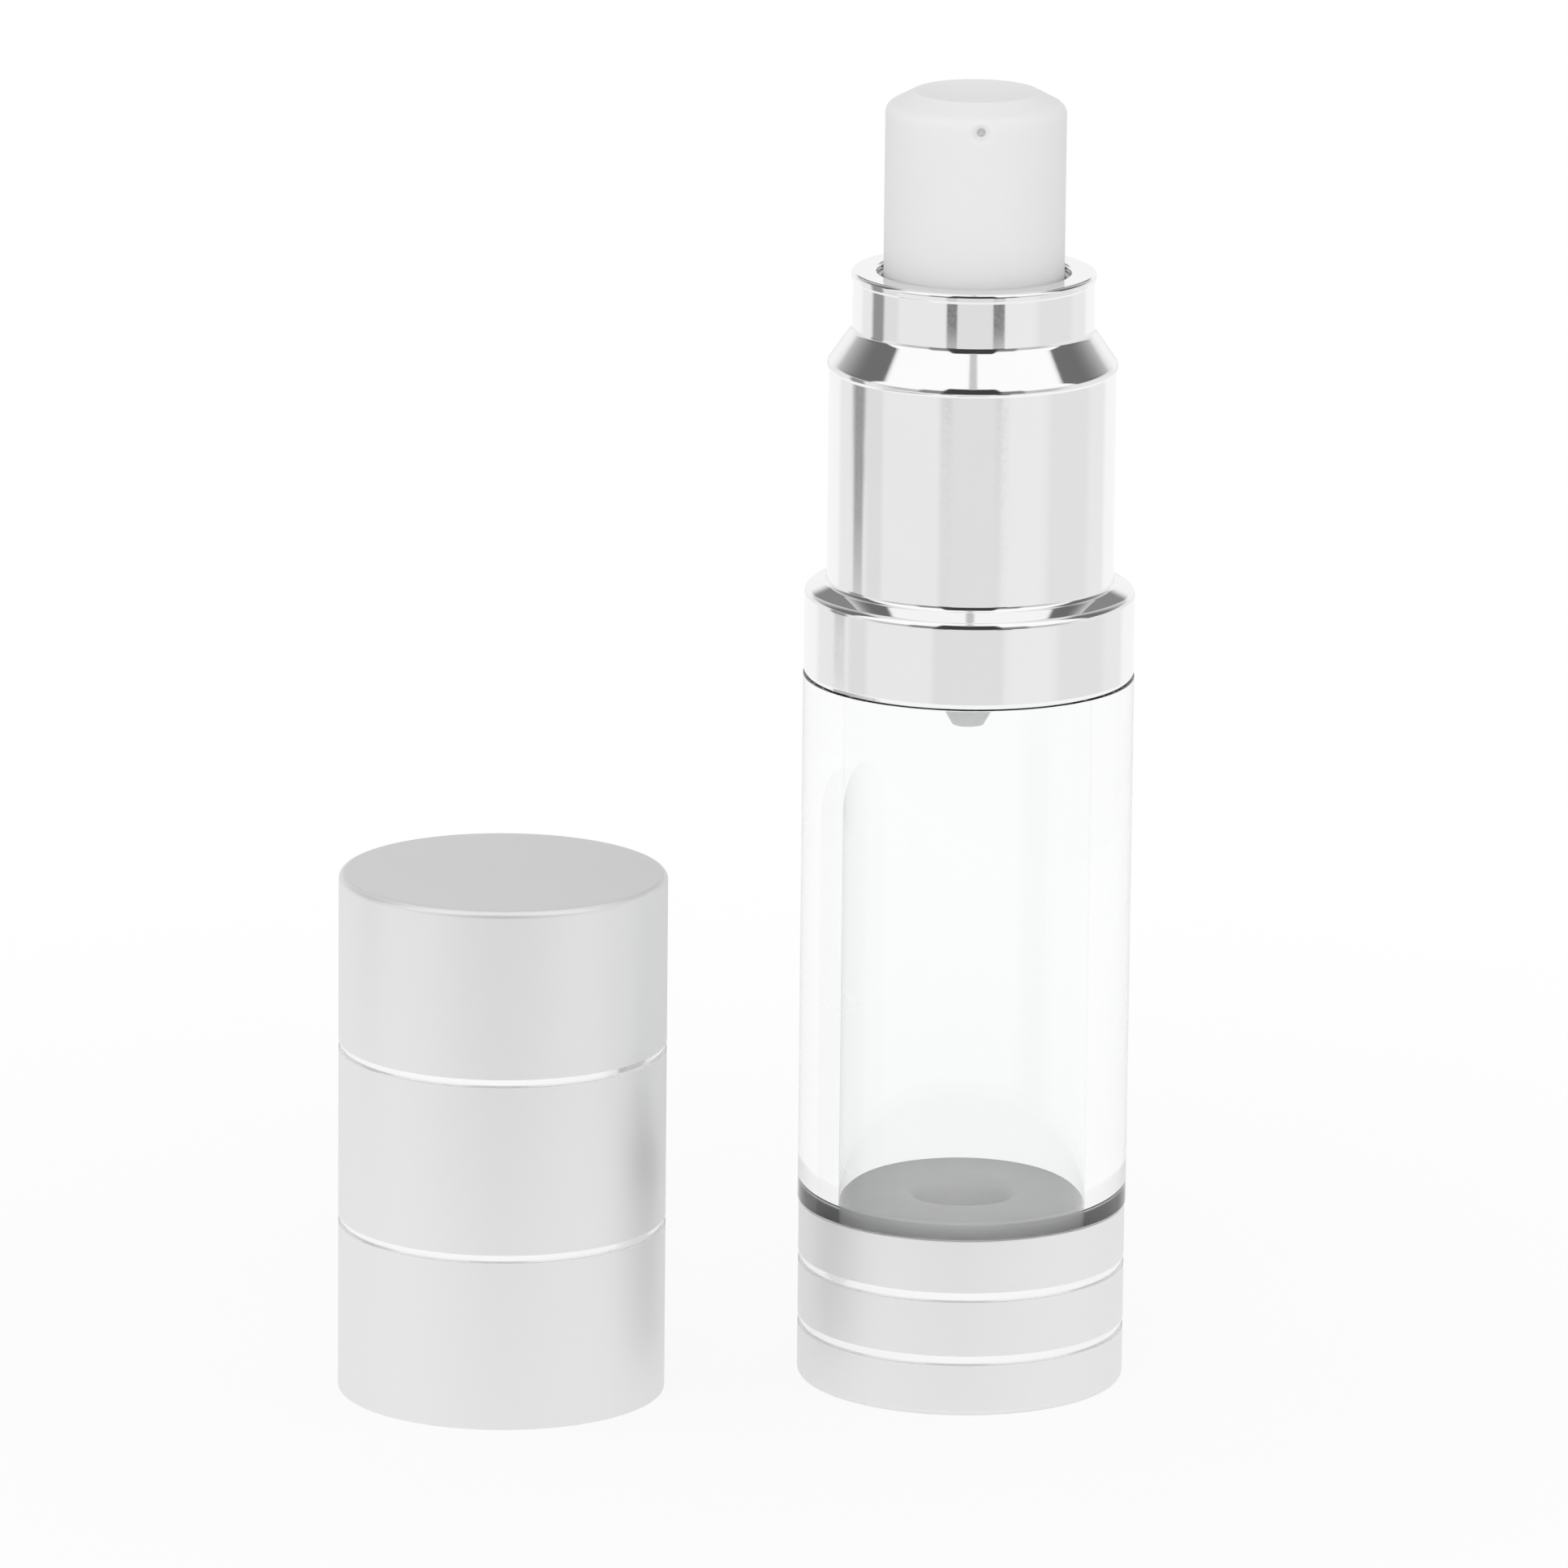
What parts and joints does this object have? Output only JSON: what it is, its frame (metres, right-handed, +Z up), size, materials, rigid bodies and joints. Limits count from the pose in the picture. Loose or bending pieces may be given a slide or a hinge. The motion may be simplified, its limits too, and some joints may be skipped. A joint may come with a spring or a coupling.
{
  "type": "airless pump bottle",
  "caption": "Slim airless pump bottle: clear tube, bright screw collar with a push-down actuator, rising follower, metal base and a lift-off cap beside it.",
  "frame": {"origin": "centre of the bottle's foot, on the surface that the bottle and its cap stand on", "axes": "+Z up along the bottle's axis, -Y towards the nozzle's side, the cap stands towards -X"},
  "size_m": [0.067, 0.0333, 0.1114],
  "materials": {
    "clear_tube": "clear, polished inside and out",
    "satin_metal": "satin anodised, with bright turned grooves",
    "mirror_metal": "mirror bright",
    "frosted_plastic": "frosted and slightly translucent",
    "follower_plastic": "plain moulded",
    "natural_plastic": "natural moulded",
    "white_plastic": "white moulded",
    "seal_plastic": "soft and waxy",
    "gasket_foam": "closed-cell foam",
    "spring_wire": "drawn wire",
    "ball_steel": "polished"
  },
  "bodies": {
    "bottle": {"bottle_tube": "clear_tube", "base_sleeve": "satin_metal", "base_plug": "white_plastic"},
    "follower": {"follower_piston": "follower_plastic"},
    "pump": {"mouth_gasket": "gasket_foam", "pump_housing": "natural_plastic", "stem_turret": "natural_plastic", "return_spring": "spring_wire"},
    "ball": {"inlet_ball": "ball_steel"},
    "plunger": {"valve_rod": "natural_plastic", "pump_stem": "natural_plastic"},
    "piston": {"pump_piston": "seal_plastic"},
    "collar": {"collar_insert": "white_plastic", "collar_shell": "mirror_metal"},
    "head": {"actuator": "frosted_plastic"},
    "cap": {"cap_shell": "satin_metal", "cap_liner": "white_plastic"}
  },
  "joints": [
    {"name": "follower_rise", "type": "slide", "parent": "bottle", "child": "follower", "axis": [0, 0, 1], "range_m": [0, 0.044]},
    {"name": "closure_lift", "type": "slide", "parent": "bottle", "child": "pump", "axis": [0, 0, 1], "range_m": [0, 0.003]},
    {"name": "collar_turn", "type": "hinge", "parent": "pump", "child": "collar", "pos_m": [0, 0, 0.064], "axis": [0, 0, 1], "range_deg": [0, 450]},
    {"name": "ball_lift", "type": "slide", "parent": "pump", "child": "ball", "axis": [0, 0, 1], "range_m": [0, 0.0009]},
    {"name": "press", "type": "slide", "parent": "pump", "child": "plunger", "axis": [0, 0, -1], "range_m": [0, 0.005], "stiffness_N_per_m": 1200, "springref_m": -0.004, "deforming": ["return_spring"]},
    {"name": "piston_slip", "type": "slide", "parent": "plunger", "child": "piston", "axis": [0, 0, 1], "range_m": [0, 0.00055]},
    {"name": "head_swivel", "type": "hinge", "parent": "plunger", "child": "head", "pos_m": [0, 0, 0.1], "axis": [0, 0, 1], "continuous": true},
    {"name": "cap_lift", "type": "slide", "parent": "bottle", "child": "cap", "axis": [0, 0, 1], "range_m": [0, 0.115]}
  ],
  "couplings": [
    {"joint": "closure_lift", "follows": "collar_turn", "m_per_rad": 0.00038197}
  ]
}
